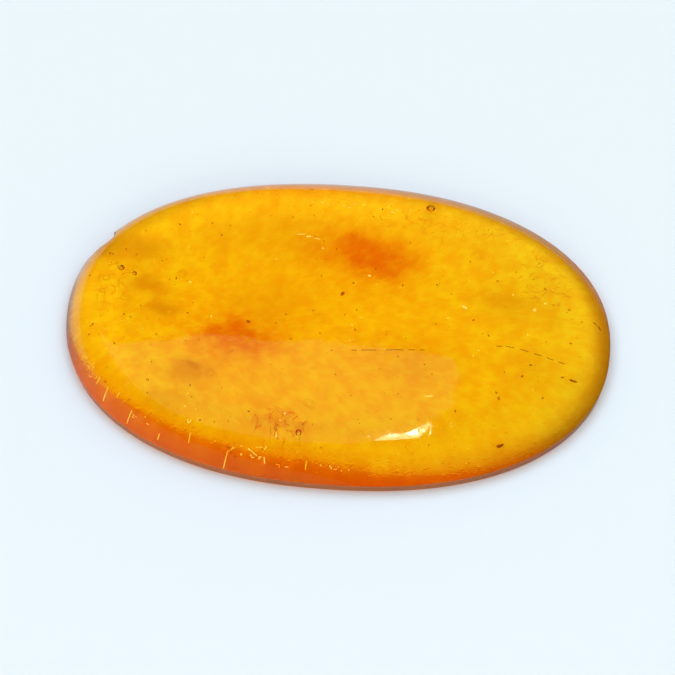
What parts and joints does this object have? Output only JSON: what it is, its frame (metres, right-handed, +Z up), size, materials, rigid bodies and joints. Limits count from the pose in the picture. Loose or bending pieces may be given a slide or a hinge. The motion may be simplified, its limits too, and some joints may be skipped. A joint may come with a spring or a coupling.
{
  "type": "amber stone",
  "caption": "Polished clear amber stone: a low oval cabochon with a flat base, a rounded shoulder and a small chip in the rim.",
  "frame": {"origin": "centre of the flat base, on the surface that the stone lies on", "axes": "+X along the long axis of the oval, +Y across it, +Z up out of the base towards the dome"},
  "size_m": [0.03, 0.0202, 0.0031],
  "materials": {
    "amber": "polished, clear golden amber"
  },
  "bodies": {
    "root": {"amber_stone": "amber"}
  },
  "joints": []
}
